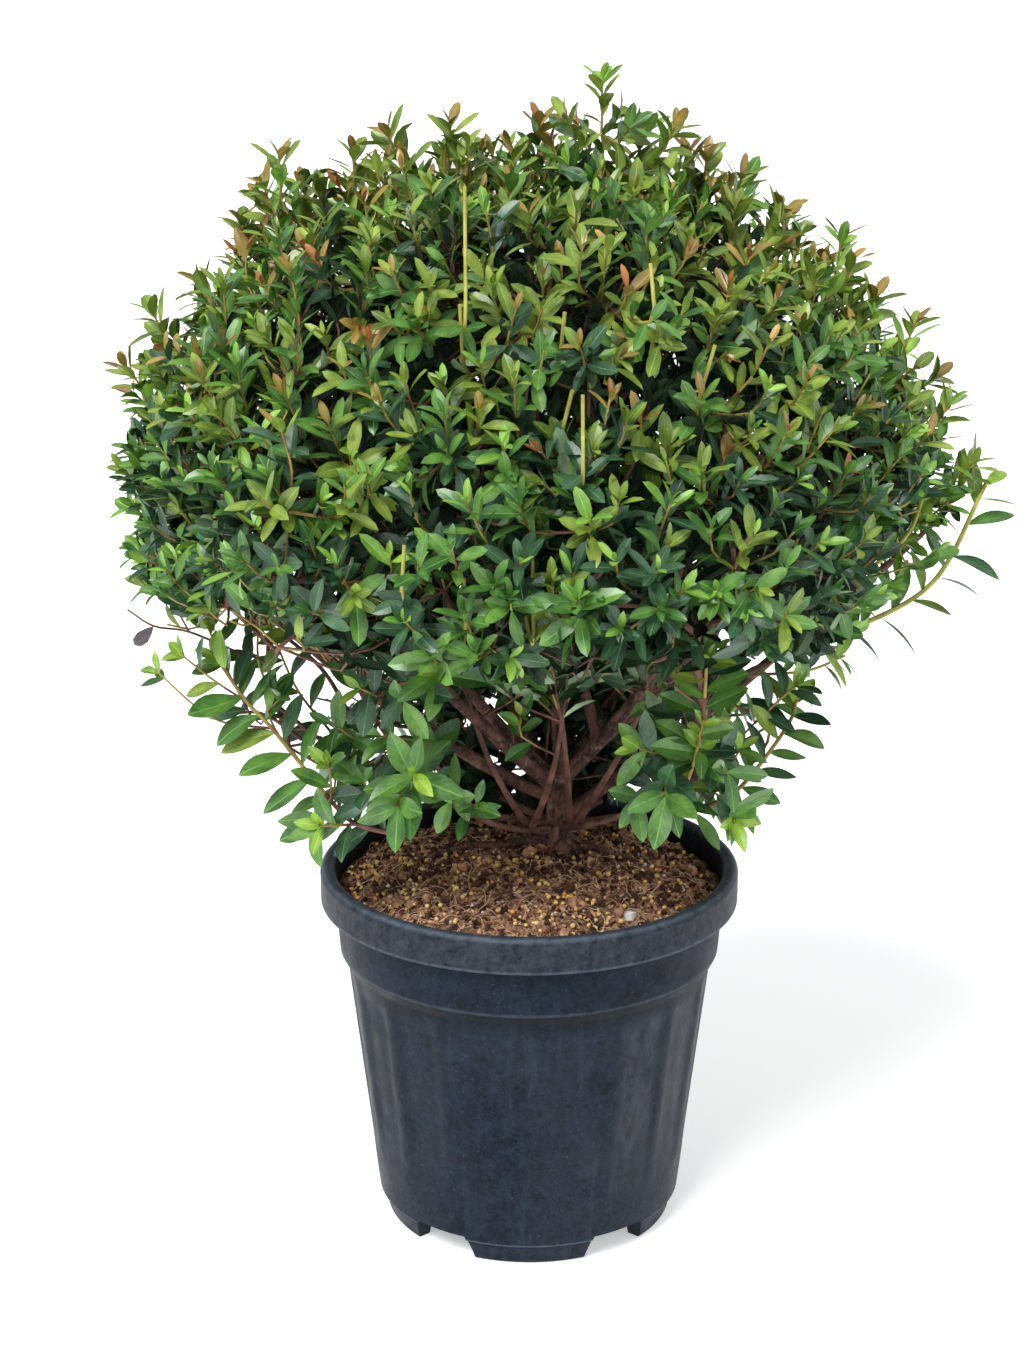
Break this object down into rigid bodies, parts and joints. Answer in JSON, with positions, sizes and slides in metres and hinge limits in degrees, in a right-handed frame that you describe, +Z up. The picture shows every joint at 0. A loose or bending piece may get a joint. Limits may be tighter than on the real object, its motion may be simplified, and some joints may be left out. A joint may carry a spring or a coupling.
{
  "type": "potted rhododendron shrub",
  "caption": "Small-leaved evergreen rhododendron shrub with a rounded leafy head on a short forked trunk, growing in a dark tapered nursery pot that stands on its flat underside.",
  "frame": {"origin": "centre of the pot's flat underside, on the floor", "axes": "+Z up along the pot's axis, front of the plant towards -Y, +X to the right seen from the front"},
  "size_m": [0.5256, 0.4767, 0.6973],
  "materials": {
    "pot_plastic": "matte",
    "compost": "matte",
    "bark": "matte",
    "foliage": "satin"
  },
  "bodies": {
    "root": {"bough_back": "bark", "bough_back_left": "bark", "bough_back_left_low": "bark", "bough_back_right": "bark", "bough_back_right_low": "bark", "bough_front_left": "bark", "bough_front_left_low": "bark", "bough_front_right": "bark", "bough_front_right_low": "bark", "bough_left": "bark", "bough_left_low": "bark", "bough_left_outer": "bark", "bough_middle": "bark", "bough_right": "bark", "bough_right_low": "bark", "bough_right_outer": "bark", "foliage_back_left": "foliage", "foliage_back_right": "foliage", "foliage_front_left": "foliage", "foliage_front_right": "foliage", "foliage_heart": "foliage", "foliage_left": "foliage", "foliage_low_back_left": "foliage", "foliage_low_back_right": "foliage", "foliage_low_front_left": "foliage", "foliage_low_front_right": "foliage", "foliage_low_left": "foliage", "foliage_low_right": "foliage", "foliage_outlying_right": "foliage", "foliage_right": "foliage", "foliage_top": "foliage", "foliage_topmost_tip": "foliage", "foliage_upper_back_left": "foliage", "foliage_upper_back_right": "foliage", "foliage_upper_front_left": "foliage", "foliage_upper_front_right": "foliage", "foliage_upper_left": "foliage", "foliage_upper_right": "foliage", "growing_medium": "compost", "pot": "pot_plastic", "surface_root_left": "bark", "surface_root_right": "bark", "trunk": "bark"}
  },
  "joints": []
}
